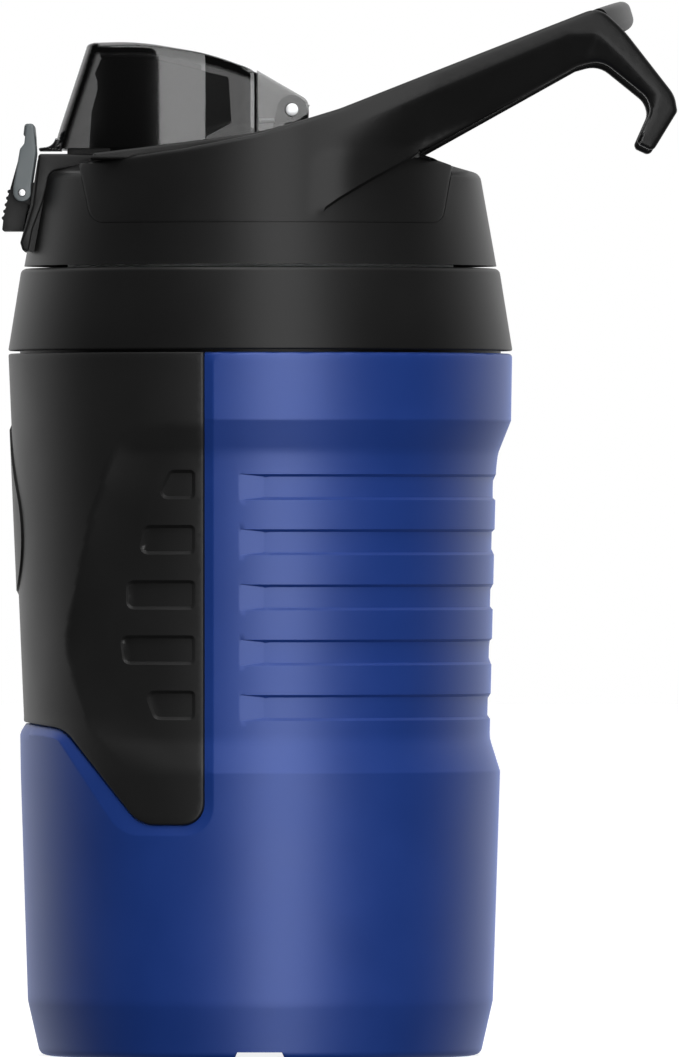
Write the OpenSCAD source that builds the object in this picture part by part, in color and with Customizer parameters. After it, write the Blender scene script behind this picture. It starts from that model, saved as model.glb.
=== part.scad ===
// Foam-insulated water jug: screw lid, flip cap over the spout, rigid hooked handle.
// Millimetres. +Z is up, the origin is the centre of the foot, +X points to the handle.

/* [Body] */
// Radius of the foot at the ground
foot_r = 61.6; // [60.8:0.1:62.2]
// Height of the sloping band above the foot
foot_band_z = 15.4; // [12:0.1:18]
// Radius at the top of the foot band
low_r = 65.1; // [64.6:0.1:65.6]
// Radius at the top of the lower body
hip_r = 67.1; // [66.8:0.1:67.5]
// Height of the lower body
hip_z = 79; // [78:0.1:80]
// Smallest radius of the waist
waist_r = 64; // [63.6:0.1:64.4]
// Radius at the top of the waist
waist_top_r = 66; // [65.6:0.1:66.4]
// Height where the waist ends
waist_top_z = 163.8; // [162.5:0.1:165]
// Radius of the shoulder band
shoulder_r = 70.5; // [70.2:0.1:71]
// Height where the shoulder band starts
shoulder_z = 177.6; // [176:0.1:179]
// Height of the outer shell
shell_h = 196.3; // [195:0.1:197]
// Wall of the outer shell
shell_wall = 4; // [3.6:0.1:4.4]
// Wall of the inner liner
liner_wall = 2; // [1.6:0.1:2.4]
// Outer radius of the inner liner
liner_r = 56.5; // [56:0.1:57]

/* [Waist grooves] */
// Number of grooves, and of pockets beside them
groove_count = 5; // [3:1:5]
// Height of the lowest groove
groove_z = 94.1; // [93:0.1:95]
// Spacing of the grooves
groove_pitch = 15.3; // [14:0.1:15.6]
// Width of a groove
groove_w = 7.2; // [6:0.1:8]
// Depth of a groove
groove_depth = 0.8; // [0.4:0.1:1.2]
// Half the angle that the grooves run round the back
groove_half_angle = 95; // [85:1:100]

/* [Grip panel] */
// Place of the panel's straight side edge
panel_edge_x = -15.5; // [-17:0.1:-14]
// Height of the panel's lowest edge
panel_low_z = 65.2; // [64:0.1:67]
// Height of the panel's lower edge at the front
panel_front_z = 93.2; // [92:0.1:94]
// Thickness of the panel over the waist
panel_t = 2; // [1.6:0.1:2.4]
// Depth of the pockets in the panel
pocket_depth = 1.1; // [0.6:0.1:1.3]

/* [Neck and thread] */
// Height of the mouth
mouth_z = 238.6; // [238:0.1:239]
// Outer radius of the neck
neck_r = 54; // [53.8:0.1:54.2]
// Radius of the mouth
mouth_r = 51; // [50.5:0.1:51.5]
// Rise of the lid in one turn
thread_lead = 20; // [18:1:22]
// Radial height of a thread ridge
thread_h = 2.2; // [1.6:0.1:2.3]

/* [Lid] */
// Height of the lid's lower edge
lid_z = 220.8; // [220.6:0.1:221.2]
// Radius of the lid at its lower edge
lid_r = 66.1; // [65.8:0.1:66.4]
// Radius of the lid at its upper edge
lid_top_r = 61.5; // [61.2:0.1:61.8]
// Height of the lid's upper edge
lid_edge_z = 246.6; // [246:0.1:247]
// Height of the middle of the deck
deck_z = 252.8; // [252.4:0.1:253]
// Wall of the lid
lid_wall = 2.6; // [2.2:0.1:2.8]

/* [Flip cap] */
// Half the width of the cap
cap_half_w = 23.5; // [22.5:0.1:24.5]
// Wall of the cap
cap_wall = 2.5; // [2:0.1:2.8]
// Place of the hinge pin
hinge_x = 8.85; // [8.5:0.05:9.2]
// Height of the hinge pin
hinge_z = 264.3; // [264:0.1:264.6]
// Radius of the hinge pin
hinge_pin_r = 1.8; // [1.5:0.1:1.9]
// Half the width of the cap over its two hinge ears
ear_outer = 19; // [18.5:0.1:19.5]
// Thickness of a hinge ear
ear_t = 3.5; // [3:0.1:4]

/* [Latch] */
// Place of the latch pin
latch_x = -66.5; // [-66.8:0.1:-66.2]
// Height of the latch pin
latch_z = 241.2; // [241:0.1:241.4]
// Radius of the latch pin
latch_pin_r = 0.95; // [0.8:0.05:1]
// Half the width of the push button
button_half_w = 10.5; // [9.5:0.1:10.6]

/* [Handle] */
// Thickness of the handle's arms
arm_t = 9; // [8:0.5:10]
// Angle by which each arm closes towards the middle
arm_angle = 12; // [10:1:14]
// Slope of the arms
arm_slope = 21.6; // [20:0.1:22]
// How far the crossbar bows out
crossbar_bow = 7.5; // [6:0.1:8]

/* [Hidden] */
$fn = 64;
eps = 0.01;
far = 90;
running_gap = 0.05;
collar_z = 197.1;
collar_top_z = 220.1;
collar_spigot_r = 67.3;
collar_spigot_z = 187;
foot_rise = 3;
foot_ring_r = 55.6;
notch_h = 2.2;
plug_r = 8;
floor_z = 8.5;
gasket_t = 1.9;
gasket_gap = 0.05;
plate_z = mouth_z + gasket_t + 2 * gasket_gap;
plate_t = 2.6;
spout_back_x = -15.3;
spout_r = 19;
spout_centre_x = -29;
spout_wall = 2.6;
vent_x = -4;
vent_r = 1.2;
plate_depth = 1.4;
groove_zs = [for (i = [0:groove_count - 1]) groove_z + groove_pitch * i];

// ---- outlines -------------------------------------------------------------

function unit(v) = v / norm(v);

// The arc that rounds corner b, between a and c, with the radius b[2].
function rounded_corner(a, b, c, steps) =
    let (
        p = [b[0], b[1]],
        u = unit([a[0], a[1]] - p),
        v = unit([c[0], c[1]] - p),
        half = acos(max(-1, min(1, u * v))) / 2,
        start = p + u * b[2] / tan(half),
        centre = p + unit(u + v) * b[2] / sin(half),
        from = atan2(start[1] - centre[1], start[0] - centre[0]),
        side = u[0] * v[1] - u[1] * v[0] > 0 ? -1 : 1,
        sweep = side * (180 - 2 * half)
    )
    [for (k = [0:steps]) centre + b[2] * [cos(from + sweep * k / steps), sin(from + sweep * k / steps)]];

// An outline whose points are [x, y] or, for a rounded corner, [x, y, radius].
function soft(points, steps = 5) =
    let (n = len(points))
    [for (i = [0:n - 1])
        let (b = points[i])
        each b[2] == undef
            ? [[b[0], b[1]]]
            : rounded_corner(points[(i + n - 1) % n], b, points[(i + 1) % n], steps)];

// A solid of revolution about the jug's axis.
module turned(points) {
    rotate_extrude($fn = 128) polygon(points);
}

// An outline in X and Z, drawn out along Y by half_w each way.
module side_prism(points, half_w) {
    rotate([90, 0, 0]) linear_extrude(height = 2 * half_w, center = true) polygon(points);
}

// The same on both sides, from y = near to y = outer.
module twin_prism(points, near, outer) {
    for (s = [-1, 1]) {
        translate([0, s * (near + outer) / 2, 0]) side_prism(points, (outer - near) / 2);
    }
}

// A cylinder along Y through [x, z].
module cross_pin(x, z, r, half_w) {
    translate([x, 0, z]) rotate([90, 0, 0]) cylinder(h = 2 * half_w, r = r, center = true);
}

// A tube through a list of rings, whose points run anticlockwise seen from the first ring's side.
module swept(rings) {
    m = len(rings[0]);
    n = len(rings);
    sides = [for (i = [0:n - 2], j = [0:m - 1])
        let (a = i * m + j, b = i * m + (j + 1) % m)
        each [[a, b, b + m], [a, b + m, a + m]]];
    ends = [[for (j = [m - 1:-1:0]) j], [for (j = [0:m - 1]) (n - 1) * m + j]];
    polyhedron([for (ring = rings) each ring], concat(sides, ends));
}

// One helical ridge from radius root to radius tip; its width narrows towards the tip.
module thread_ridge(root, tip, z, start, turns) {
    steps = 40;
    wide = 1.8;
    narrow = 0.9;
    up = root < tip ? 1 : -1;
    section = [[root, -wide * up], [tip, -narrow * up], [tip, narrow * up], [root, wide * up]];
    swept([for (i = [0:steps])
        let (a = start + 360 * turns * i / steps)
        [for (p = section) [p[0] * cos(a), p[0] * sin(a), z + thread_lead * turns * i / steps + p[1]]]]);
}

// A torsion spring round an axis along Y through [x, z], with a straight leg at each end.
module torsion_spring(x, z, r, wire_r, half_w, turns, start, leg_in, leg_out) {
    steps = round(14 * turns);
    function ring(i, leg) =
        let (a = start + 360 * turns * i / steps, y = half_w * (2 * i / steps - 1))
        [for (k = [0:5])
            let (reach = r + wire_r * cos(60 * k))
            [
                x + reach * cos(a) - leg * sin(a),
                y - wire_r * sin(60 * k),
                z + reach * sin(a) + leg * cos(a)
            ]];
    swept(concat([ring(0, -leg_in)], [for (i = [0:steps]) ring(i, 0)], [ring(steps, leg_out)]));
}

// ---- jug body -------------------------------------------------------------

// Outside of the jug before the waist is cut.
skin_outline = soft([
    [0, 0],
    [foot_r, 0, 2.2],
    [low_r, foot_band_z, 4],
    [hip_r, hip_z],
    [hip_r + 0.2, 89.5, 2],
    [65.2, 93.5],
    [shoulder_r - 0.3, shoulder_z],
    [shoulder_r, shell_h, 1],
    [0, shell_h]
]);

// Outside of the grip panel before the waist is cut.
panel_outline = soft([
    [0, 60],
    [hip_r - 0.6, 60],
    [hip_r, hip_z],
    [66.2, 94.5, 6],
    [shoulder_r + 0.15, shell_h, 1],
    [0, shell_h]
]);

// What the waist takes away: everything outside this line, between the hip and the shoulder.
waist_cut_outline = soft([
    [hip_r, hip_z + 0.6],
    [waist_r + 0.2, 88.8, 6],
    [waist_top_r, waist_top_z, 20],
    [waist_top_r + 0.5, 168.3, 3],
    [shoulder_r - 0.3, shoulder_z],
    [far, shoulder_z],
    [far, hip_z + 0.6]
]);

// The waist runs round the back and sides as far as this curved boundary.
waist_area = soft([
    [far, hip_z - 5],
    [-29, hip_z - 5],
    [-36, 80.5, 8],
    [-47, 91, 12],
    [-54.5, 115, 22],
    [-46, 154, 30],
    [-39.5, 172, 14],
    [-30, 182],
    [far, 182]
], 6);

module waist_cut() {
    intersection() {
        turned(waist_cut_outline);
        side_prism(waist_area, far);
    }
}

// Outline of the grip panel seen from the side.
function panel_area(gap) = soft([
    [-far, shell_h + 1],
    [panel_edge_x + gap, shell_h + 1],
    [panel_edge_x + gap, panel_low_z - gap, 6.2],
    [-33.5, panel_low_z - gap, 9],
    [-54.5 - gap, 91.5 - gap, 8],
    [-66, panel_front_z - gap],
    [-far, panel_front_z - gap]
]);

// The shell's surface under the grip panel.
seat_outline = soft([
    [0, 55],
    [hip_r - 0.8 - panel_t, 55],
    [hip_r - panel_t, hip_z + 0.6],
    [waist_r + 0.2 - panel_t, 88.8, 6],
    [waist_top_r - panel_t, waist_top_z, 20],
    [waist_top_r + 0.5 - panel_t, 168.3, 3],
    [shoulder_r - 0.3 - panel_t, shoulder_z],
    [shoulder_r - panel_t, shell_h + 2],
    [0, shell_h + 2]
]);

cavity_outline = soft([
    [0, foot_rise + shell_wall - 1],
    [foot_r - shell_wall, foot_rise + shell_wall - 1, 3],
    [low_r - shell_wall, foot_band_z + 1, 4],
    [hip_r - shell_wall, hip_z - 1, 3],
    [waist_r + 0.2 - shell_wall, 88, 6],
    [waist_top_r - shell_wall, waist_top_z, 20],
    [waist_top_r + 0.6 - shell_wall, 169, 3],
    [shoulder_r - 0.3 - shell_wall, shoulder_z + 1.2, 2],
    [shoulder_r - 0.2 - shell_wall, collar_spigot_z],
    [0, collar_spigot_z]
]);

module groove(z) {
    line_r = waist_r + (waist_top_r - waist_r) * (z + groove_w / 2 - 93) / (waist_top_z - 93);
    rotate([0, 0, -groove_half_angle]) rotate_extrude(angle = 2 * groove_half_angle, $fn = 128) {
        polygon([
            [line_r - groove_depth, z + groove_depth],
            [line_r + 1, z - 1],
            [line_r + 1, z + groove_w + 1],
            [line_r - groove_depth, z + groove_w - groove_depth]
        ]);
    }
}

module outer_shell() {
    color([0.10, 0.20, 0.42]) difference() {
        turned(skin_outline);
        waist_cut();
        turned(cavity_outline);
        translate([0, 0, collar_spigot_z - eps]) cylinder(h = 20, r = collar_spigot_r, $fn = 128);
        intersection() {
            side_prism(panel_area(0.3), far);
            difference() {
                translate([0, 0, 60]) cylinder(h = 150, r = far);
                turned(seat_outline);
            }
        }
        for (z = groove_zs) groove(z);
        translate([0, 0, -eps]) cylinder(h = foot_rise + eps, r1 = foot_ring_r, r2 = foot_ring_r - 1.6, $fn = 128);
        side_prism(soft([[-7.4, -1], [-6.2, notch_h, 1], [6.2, notch_h, 1], [7.4, -1]], 3), far);
        cylinder(h = 20, r = plug_r);
    }
}

module foam_plug() {
    color([0.10, 0.20, 0.42]) union() {
        translate([0, 0, foot_rise - 0.4]) cylinder(h = 3.4, r = plug_r);
        translate([0, 0, foot_rise - 1.4]) cylinder(h = 1.4, r = plug_r + 2.5);
    }
}

module grip_panel() {
    color([0.11, 0.11, 0.12]) difference() {
        intersection() {
            turned(panel_outline);
            side_prism(panel_area(0), far);
        }
        waist_cut();
        turned(seat_outline);
        for (i = [0:groove_count - 1]) pocket(i);
    }
}

// A pocket in the panel, level with groove i; its front end follows the edge of the waist.
module pocket(i) {
    back = panel_edge_x - 2.3;
    front = [-32.3, -39, -37.1, -33.7, -29][i];
    low = groove_zs[i] + 0.2;
    high = low + 8.2;
    slant = [3, 1.5, 0, -1.5, -4][i];
    intersection() {
        side_prism(soft([
            [back, low, 1.4],
            [front + max(slant, 0), low, 2.2],
            [front - min(slant, 0), high, 2.2],
            [back, high, 1.4]
        ], 4), far);
        difference() {
            translate([0, 0, 85]) cylinder(h = 90, r = far);
            turned(soft([
                [0, 80],
                [waist_r - pocket_depth - 0.3, 80],
                [waist_top_r - pocket_depth + 0.3, 175],
                [0, 175]
            ]));
        }
    }
}

// Outside of the inner liner, up to the neck.
liner_outline = soft([
    [0, floor_z],
    [liner_r - 1, floor_z, 6],
    [liner_r, 30],
    [liner_r, 204, 5],
    [neck_r, 212, 4],
    [neck_r, mouth_z],
    [0, mouth_z]
]);

module foam_core() {
    color([0.93, 0.90, 0.78]) difference() {
        union() {
            turned(cavity_outline);
            turned([
                [0, 180],
                [collar_spigot_r - 2.6, 180],
                [collar_spigot_r - 2.6, collar_spigot_z],
                [63.8, 214],
                [61, 217],
                [0, 217]
            ]);
        }
        turned(liner_outline);
        cylinder(h = foot_rise + 3, r = plug_r);
    }
}

module inner_liner() {
    color([0.90, 0.91, 0.92]) difference() {
        union() {
            turned(liner_outline);
            for (start = [0, 180]) thread_ridge(neck_r - 0.5, neck_r + thread_h, 224.6, start, 0.55);
        }
        turned(soft([
            [0, floor_z + liner_wall],
            [liner_r - 1 - liner_wall, floor_z + liner_wall, 5],
            [liner_r - liner_wall, 30],
            [liner_r - liner_wall, 203, 4],
            [mouth_r, 211, 4],
            [mouth_r, mouth_z + 1],
            [0, mouth_z + 1]
        ]));
    }
}

module collar_ring() {
    color([0.11, 0.11, 0.12]) turned(soft([
        [collar_spigot_r - 2.6, collar_spigot_z],
        [collar_spigot_r, collar_spigot_z],
        [collar_spigot_r, collar_z],
        [70.6, collar_z, 0.5],
        [66.9, collar_top_z, 1.7],
        [neck_r, collar_top_z],
        [neck_r, 217],
        [61, 217],
        [63.8, 214]
    ]));
}

// ---- lid ------------------------------------------------------------------

module lid_gasket() {
    color([0.75, 0.76, 0.78]) translate([0, 0, mouth_z + gasket_gap]) turned(soft([
        [mouth_r + 0.3, 0],
        [56, 0, 0.6],
        [56, gasket_t, 0.6],
        [mouth_r + 0.3, gasket_t]
    ], 3));
}

lid_taper = (lid_r - lid_top_r) / (lid_edge_z - lid_z);

// Outside of the lid, moved inwards by inset.
function lid_outline(inset) = soft([
    [0, lid_z],
    [lid_r - inset, lid_z],
    [lid_top_r - inset, lid_edge_z - inset, 3],
    [45, 251.4 - inset, 12],
    [30, deck_z - inset],
    [0, deck_z - inset]
]);

// Cone that carries the lid's side surface on above its edge, for the handle's side plates.
module lid_cone(inset) {
    rise = 60;
    translate([0, 0, lid_z]) {
        cylinder(h = rise, r1 = lid_r - inset, r2 = lid_r - inset - lid_taper * rise, $fn = 128);
    }
}

// Side view of a handle plate: it wraps the lid's flank and runs up into the arm.
plate_area = soft([
    [-50.5, 248.9, 0.8],
    [-47, 232.3, 4.5],
    [50.8, 232.3, 3.5],
    [53.8, 248.4, 0.8],
    [44.7, 251.5],
    [42, 262],
    [22.3, 264, 10],
    [-0.1, 257, 30],
    [-21.4, 252.8]
]);

module plate_seat(depth) {
    intersection() {
        side_prism(plate_area, far);
        difference() {
            lid_cone(0);
            lid_cone(depth);
        }
    }
}

module spout_plan(inset) {
    intersection() {
        translate([spout_centre_x, 0]) union() {
            circle(r = spout_r - inset);
            translate([0, -spout_r + inset]) square([20, 2 * (spout_r - inset)]);
        }
        translate([-far, -far]) square([far + spout_back_x - inset, 2 * far]);
    }
}

cheek_area = soft([
    [-55, 252],
    [-61.6, 252, 0.8],
    [-62.2, 250],
    [-64.2, 237.2],
    [-65.9, 231],
    [-67, 227.2, 0.8],
    [-66, 224.8, 0.8],
    [-60, 224.8]
], 3);

module lid_cover() {
    color([0.11, 0.11, 0.12]) difference() {
        union() {
            difference() {
                union() {
                    turned(lid_outline(0));
                    twin_prism(cheek_area, button_half_w + 0.4, 17);
                }
                turned(concat([[0, lid_z - 1]], [[lid_r - lid_wall + 0.2, lid_z - 1]],
                    [for (p = lid_outline(lid_wall)) if (p[1] > lid_z + 1) p]));
            }
            twin_prism(hinge_lug_area(), 9, ear_outer - ear_t - 0.5);
            twin_prism(pin_lug_area(), button_half_w + 0.4, 13.1);
        }
        plate_seat(plate_depth);
        translate([0, 0, 240]) linear_extrude(height = 20) spout_plan(0);
        translate([vent_x, 0, 240]) cylinder(h = 20, r = vent_r);
        cross_pin(hinge_x, hinge_z, hinge_pin_r, 30);
        cross_pin(latch_x, latch_z, latch_pin_r, 30);
    }
}

function hinge_lug_area() = concat(
    [[1.5, 251], [15.5, 251]],
    [for (a = [0:15:180]) [hinge_x + 4.2 * cos(a), hinge_z + 4.2 * sin(a)]]
);

function pin_lug_area() = concat(
    [[-62, 236.5]],
    [for (a = [260:-15:80]) [latch_x + 2.1 * cos(a), latch_z + 2.1 * sin(a)]],
    [[-62, 244.5]]
);

module lid_liner() {
    skirt_r = 58.6;
    root_r = 57;
    color([0.16, 0.16, 0.17]) difference() {
        union() {
            turned([
                [0, plate_z], [root_r, plate_z], [root_r, 221.6], [skirt_r, 221.6],
                [skirt_r, plate_z + plate_t], [0, plate_z + plate_t]
            ]);
            turned([[48, plate_z + eps], [48, 232], [50.2, 232], [50.4, plate_z + eps]]);
            for (start = [90, 270]) thread_ridge(root_r + 0.5, neck_r + 0.8, 224.6, start, 0.55);
        }
        translate([0, 0, 230]) linear_extrude(height = 30) spout_plan(0);
        translate([vent_x, 0, 230]) cylinder(h = 30, r = 1.6);
    }
}

module spout_seal() {
    color([0.75, 0.76, 0.78]) translate([0, 0, plate_z + plate_t]) linear_extrude(height = 2) {
        difference() {
            spout_plan(-1.8);
            spout_plan(-0.1);
        }
    }
}

module vent_valve() {
    color([0.75, 0.76, 0.78]) translate([vent_x, 0, plate_z]) union() {
        translate([0, 0, -1.2]) cylinder(h = 1.2, r = 3);
        cylinder(h = plate_t, r = 1.6);
        translate([0, 0, plate_t]) cylinder(h = 1, r = 2.4);
    }
}

spout_side = soft([
    [-48.2, 236],
    [-48, 253],
    [-47.2, 264],
    [-45.5, 270, 4],
    [-45.6, 272.6],
    [-46.3, 274.6, 0.8],
    [-44.4, 278.8, 1],
    [-31, 278.6, 8],
    [-8.9, 273.6, 0.8],
    [-8.1, 261.2, 0.8],
    [spout_back_x + 0.1, 257.4],
    [spout_back_x, 236]
]);

module spout() {
    color([0.11, 0.11, 0.12]) difference() {
        intersection() {
            side_prism(spout_side, far);
            translate([0, 0, 236]) union() {
                linear_extrude(height = 60) spout_plan(0);
                translate([spout_back_x - 3, -12, 0]) cube([12, 24, 60]);
            }
        }
        intersection() {
            translate([0, 0, 230]) linear_extrude(height = 60) spout_plan(spout_wall);
            side_prism([[-46, 230], [-45.3, 253], [-44.6, 264], [-42.8, 270], [-42.2, 290], [0, 290], [0, 230]], far);
        }
    }
}

module handle() {
    rim_depth = 5;
    color([0.11, 0.11, 0.12]) union() {
        plate_seat(plate_depth);
        difference() {
            plate_seat(rim_depth);
            turned(lid_outline(0));
        }
        arm();
        mirror([0, 1, 0]) arm();
        crossbar();
    }
}

arm_root_x = 12.7;
arm_root_y = 59.4;

// Side view of an arm: straight grip, round corner, and a hook that points down.
arm_area = [for (p = soft([
    [18, 262.3],
    [94.2, 292.5, 6],
    [101, 286.4, 40],
    [115.4, 268, 8],
    [116.2, 263.5, 1.5],
    [109.4, 252.4, 1.6],
    [104.7, 254.6, 1.4],
    [108.8, 263.8, 4],
    [107.8, 267.4, 6],
    [95, 277.8, 7],
    [88.5, 276],
    [44.7, 251.7],
    [30, 246]
])) [arm_root_x + (p[0] - arm_root_x) / cos(arm_angle), p[1]]];

module arm() {
    difference() {
        translate([arm_root_x, arm_root_y, 0]) rotate([0, 0, -arm_angle]) {
            translate([-arm_root_x, -arm_t / 2, 0]) side_prism(arm_area, arm_t / 2);
        }
        lid_cone(3);
        turned(lid_outline(0));
    }
}

// The crossbar lies in the plane of the arms and bows away from the lid.
module crossbar() {
    half_chord = 38;
    bow_r = (half_chord * half_chord + crossbar_bow * crossbar_bow) / (2 * crossbar_bow);
    half_angle = asin(half_chord / bow_r);
    depth = 19;
    thick = 8;
    tip_x = 102.8;
    tip_z = 295.9;
    translate([tip_x, 0, tip_z]) rotate([0, -arm_slope, 0]) translate([-bow_r, 0, 0]) {
        rotate([0, 0, -half_angle]) rotate_extrude(angle = 2 * half_angle, $fn = 128) {
            polygon(soft([
                [bow_r - depth, -thick, 3],
                [bow_r, -thick, 3.4],
                [bow_r, 0, 3.4],
                [bow_r - depth, 0, 3]
            ], 4));
        }
    }
}

module hinge_pin() {
    color([0.80, 0.81, 0.82]) cross_pin(hinge_x, hinge_z, hinge_pin_r, ear_outer - 0.1);
}

module hinge_spring() {
    color([0.62, 0.63, 0.65]) {
        torsion_spring(hinge_x, hinge_z, 2.8, 0.6, 6.5, 7 + 1 / 6, -90, hinge_x + 0.3, 4);
    }
}

module latch_pin() {
    color([0.80, 0.81, 0.82]) cross_pin(latch_x, latch_z, latch_pin_r, 15.8);
}

module button_spring() {
    color([0.62, 0.63, 0.65]) {
        torsion_spring(latch_x, latch_z, 1.4, 0.3, 2.4, 5.5, 0, 4, 2.5);
    }
}

// ---- flip cap -------------------------------------------------------------

function cap_roof(inset) = [
    [-48.3 + 0.9 * inset, 283 - inset, 2.5 - inset * 0.6],
    [-30.6, 283.1 - inset, 40]
];

cap_outside = soft(concat(
    [
        [-3, 253.6],
        [-61.8, 253, 0.3],
        [-62, 253.8, 0.3],
        [-58.3, 254.3, 3],
        [-56.4, 258.5, 12]
    ],
    cap_roof(0),
    [
        [-0.4, 275.2, 40],
        [13.4, 267, 3],
        [13.9, 259.3, 4.8],
        [3, 259.3]
    ]
), 4);

cap_inside = soft(concat(
    [
        [-1.6, 250],
        [-54.6, 250],
        [-53.9, 258.5, 12]
    ],
    cap_roof(cap_wall),
    [
        [-1.6, 273]
    ]
), 4);

// Plan of half the cap: curved in towards the front, stepping in towards the hinge ears.
function cap_half_plan(inset) =
    let (r = 60 - inset, w = cap_half_w - inset)
    concat(
        [for (a = [38:-7.6:0]) [-27 - r * sin(a), w - r * (1 - cos(a))]],
        [[spout_back_x, w], [-1, ear_outer - inset], [20, ear_outer - inset]]
    );

module cap_column(inset) {
    half_plan = cap_half_plan(inset);
    last = len(half_plan) - 1;
    translate([0, 0, 240]) linear_extrude(height = 60) {
        polygon(concat(half_plan, [for (i = [last:-1:0]) [half_plan[i][0], -half_plan[i][1]]]));
    }
}

module flip_cap() {
    tongue_half_w = 9;
    color([0.42, 0.43, 0.44]) difference() {
        intersection() {
            side_prism(cap_outside, far);
            cap_column(0);
        }
        intersection() {
            side_prism(cap_inside, far);
            cap_column(cap_wall);
        }
        side_prism([[-0.4, 250], [-0.4, 290], [20, 290], [20, 250]], ear_outer - ear_t);
        twin_prism([[-70, 250], [-70, 258], [-57, 256.6], [-56.4, 250]], tongue_half_w, far);
        cross_pin(hinge_x, hinge_z, hinge_pin_r + running_gap, far);
    }
}

module cap_seal() {
    roof = cap_roof(cap_wall + 0.1);
    side = soft([
        [-44.6, 279.1],
        [-31, 278.9, 8],
        [-16.5, 275.5],
        [-16.5, 276.75],
        roof[1],
        [-44.9, roof[0][1]]
    ], 4);
    color([0.12, 0.12, 0.13]) intersection() {
        side_prism(side, far);
        translate([0, 0, 230]) linear_extrude(height = 60) spout_plan(0.8);
    }
}

// ---- latch ----------------------------------------------------------------

button_area = concat(
    soft([
        [-65.4, 234.6],
        [-66.2, 230.6, 0.4],
        [-72.5, 230.6, 0.5],
        [-71.2, 234.6, 2],
        [-69.3, 242.5],
        [-67, 252.8, 0.8],
        [-65.6, 255.9, 0.5],
        [-62.7, 255.9, 0.4],
        [-62.7, 254.6, 0.3],
        [-65, 254.2, 0.6],
        [-64.2, 243.5]
    ], 3),
    [[-64.2, 239]]
);

module latch_button() {
    rib_count = 4;
    color([0.11, 0.11, 0.12]) difference() {
        side_prism(button_area, button_half_w);
        cross_pin(latch_x, latch_z, latch_pin_r + running_gap, far);
        side_prism([[-68.6, 238.6], [-68.6, 244], [-60, 244], [-60, 230], [-66.6, 234]], 3);
        for (i = [0:rib_count - 1]) {
            translate([-71.9 + 0.42 * i, 0, 234.9 + 1.9 * i]) rotate([90, 0, 0]) {
                cylinder(h = 18, r = 0.8, center = true);
            }
        }
    }
}

module lock_bail() {
    arm_near = 13.5;
    arm_outer = 15.9;
    arm = concat(
        [for (a = [180:20:360]) [latch_x + 2.3 * cos(a), latch_z + 2.3 * sin(a)]],
        soft([[-62.4, 251], [-62.8, 258.5], [-63.4, 260.5, 0.8], [-65.6, 260.5, 0.8], [-66.6, 254], [-67.7, 248]])
    );
    color([0.42, 0.45, 0.46]) difference() {
        union() {
            twin_prism(arm, arm_near, arm_outer);
            side_prism(soft([
                [-63.1, 257, 0.5], [-63.1, 260.5, 0.8], [-65.8, 260.5, 0.8], [-66.2, 257, 0.5]
            ], 3), arm_outer);
        }
        cross_pin(latch_x, latch_z, latch_pin_r + running_gap, far);
    }
}

outer_shell();
foam_core();
foam_plug();
inner_liner();
grip_panel();
collar_ring();
lid_gasket();
lid_cover();
lid_liner();
spout();
spout_seal();
vent_valve();
handle();
hinge_pin();
hinge_spring();
latch_pin();
button_spring();
flip_cap();
cap_seal();
latch_button();
lock_bail();
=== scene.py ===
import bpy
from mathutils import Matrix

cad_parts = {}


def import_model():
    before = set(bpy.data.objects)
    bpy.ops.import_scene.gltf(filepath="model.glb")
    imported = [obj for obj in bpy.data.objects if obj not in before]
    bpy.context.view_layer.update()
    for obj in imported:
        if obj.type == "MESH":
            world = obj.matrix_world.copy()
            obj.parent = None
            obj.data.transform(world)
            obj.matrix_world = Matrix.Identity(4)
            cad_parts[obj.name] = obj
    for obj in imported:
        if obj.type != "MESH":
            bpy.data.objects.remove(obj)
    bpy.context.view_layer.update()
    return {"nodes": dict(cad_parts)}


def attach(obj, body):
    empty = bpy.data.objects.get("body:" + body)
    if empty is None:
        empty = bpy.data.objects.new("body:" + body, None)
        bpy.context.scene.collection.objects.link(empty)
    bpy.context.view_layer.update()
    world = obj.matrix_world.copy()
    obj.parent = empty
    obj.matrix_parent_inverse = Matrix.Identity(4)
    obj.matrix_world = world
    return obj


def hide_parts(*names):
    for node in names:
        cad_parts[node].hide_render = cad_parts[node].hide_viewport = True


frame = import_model()

import math

import bmesh
import bpy
import numpy as np
from mathutils import Vector, kdtree
from mathutils.geometry import delaunay_2d_cdt

# Lengths in this script are millimetres, in the CAD frame, unless a name says otherwise: x runs to
# the back of the jug, y across it and z up. Pieces are made as one half and then mirrored.
MM = 0.001
SLIVER = 3e-5  # triangles flatter than this are left out of a patch


# ---- outlines -------------------------------------------------------------

def rounded(points, steps=5):
    """An outline whose points are (x, y) or, for a rounded corner, (x, y, radius)."""
    out = []
    count = len(points)
    for i, point in enumerate(points):
        here = np.array(point[:2], float)
        if len(point) == 2:
            out.append(here)
            continue
        u = np.array(points[i - 1][:2]) - here
        v = np.array(points[(i + 1) % count][:2]) - here
        u, v = u / np.linalg.norm(u), v / np.linalg.norm(v)
        half = math.acos(max(-1, min(1, float(u @ v)))) / 2
        start = here + u * point[2] / math.tan(half)
        centre = here + (u + v) / np.linalg.norm(u + v) * point[2] / math.sin(half)
        angle = math.atan2(*(start - centre)[::-1])
        turn = (-1 if u[0] * v[1] - u[1] * v[0] > 0 else 1) * (math.pi - 2 * half)
        for k in range(steps + 1):
            a = angle + turn * k / steps
            out.append(centre + point[2] * np.array([math.cos(a), math.sin(a)]))
    return np.array(out)


def profile(points):
    """Radius as a function of height, along a line of (radius, height) points that rises."""
    line = rounded([(points[0][0], points[0][1] - 1)] + list(points) + [(points[-1][0], points[-1][1] + 1)])
    return lambda z: np.interp(z, line[:, 1], line[:, 0])


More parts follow.
